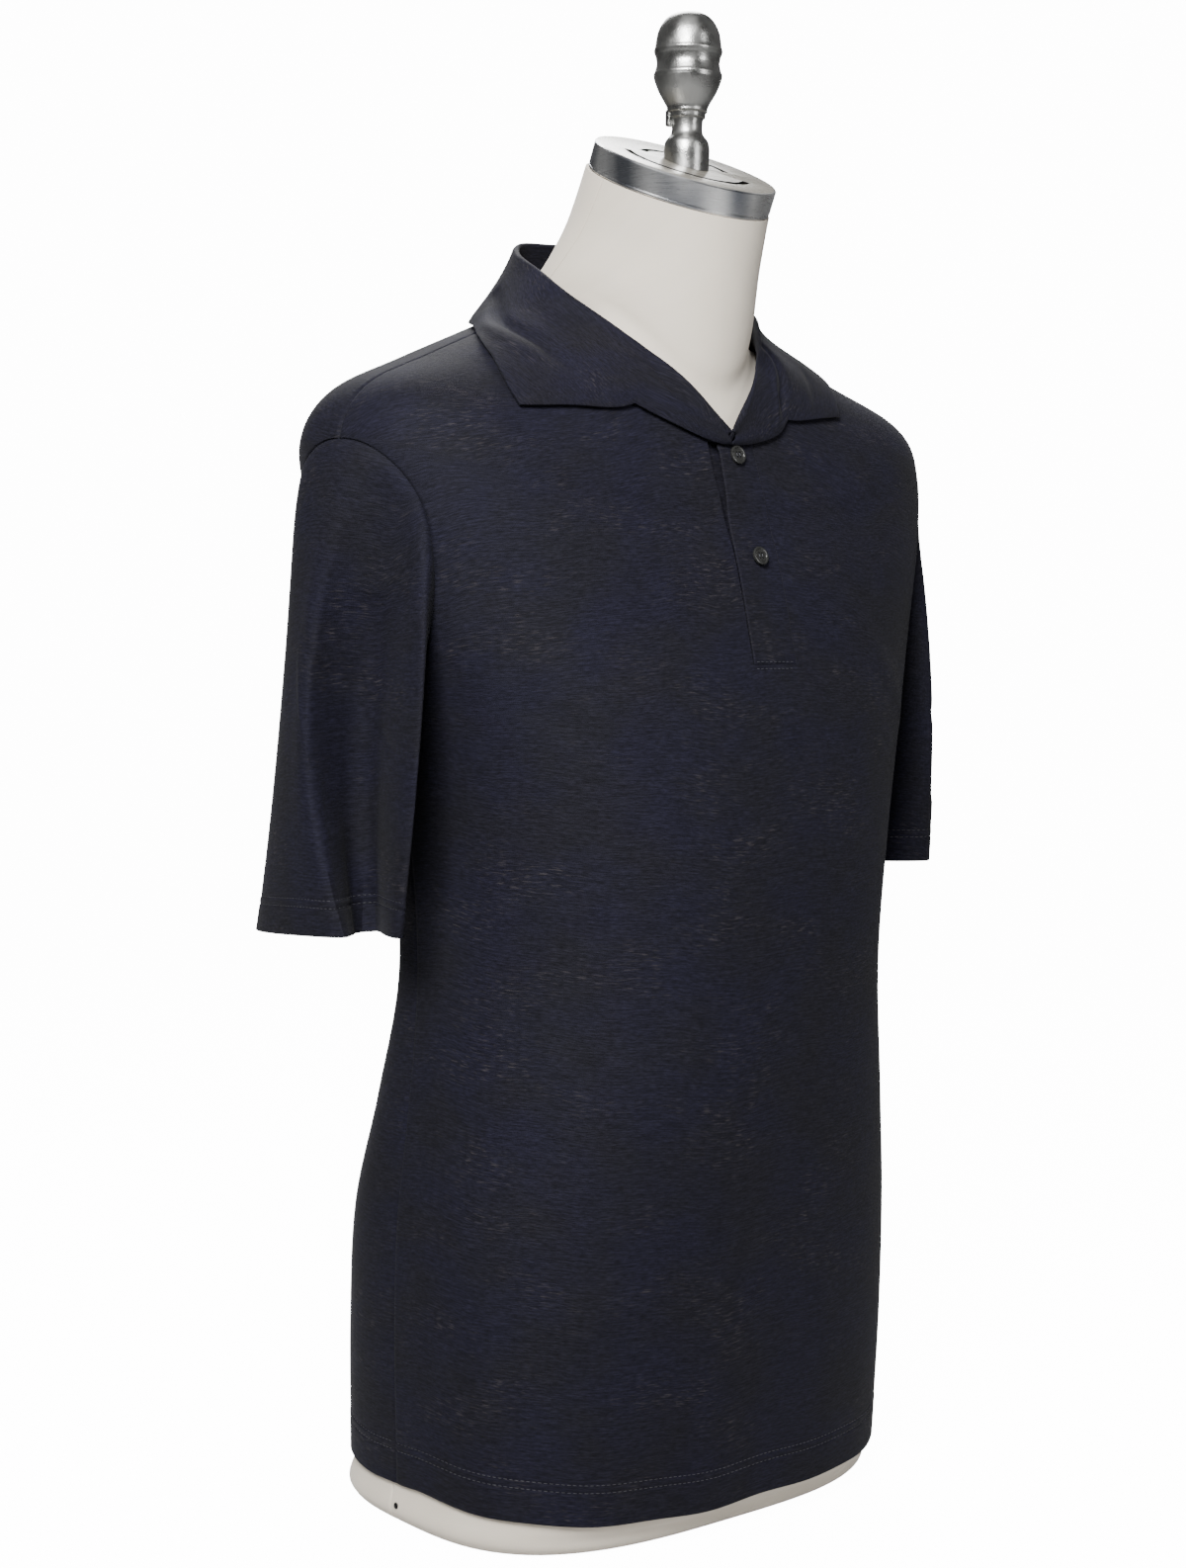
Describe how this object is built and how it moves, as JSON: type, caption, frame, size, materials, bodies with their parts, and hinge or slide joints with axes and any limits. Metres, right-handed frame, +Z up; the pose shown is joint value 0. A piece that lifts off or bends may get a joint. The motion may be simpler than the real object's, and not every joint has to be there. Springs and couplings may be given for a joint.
{
  "type": "polo shirt on a dress form",
  "caption": "Short-sleeved men's polo shirt in dark slub jersey, with open collar and buttoned placket, filled out by a padded dress form without limbs that stands on its flat base",
  "frame": {"origin": "middle of the dress form's flat underside, on the centre plane of the shirt", "axes": "+Z up, the shirt's front faces -Y, the wearer's left is +X"},
  "size_m": [0.4731, 0.2665, 0.912],
  "materials": {
    "jersey": "matte dark navy slub linen jersey",
    "button": "dark smoke resin, softly polished",
    "form_cover": "tight cream cotton cover over padding",
    "cap_metal": "brushed, with cast slots",
    "finial_metal": "worn cast metal, polished"
  },
  "bodies": {
    "root": {"front": "jersey", "back": "jersey", "sleeve_right": "jersey", "sleeve_left": "jersey", "collar": "jersey", "placket_upper": "jersey", "placket_under": "jersey", "button_1": "button", "button_2": "button", "form_body": "form_cover", "neck_cap": "cap_metal", "finial": "finial_metal"}
  },
  "joints": []
}
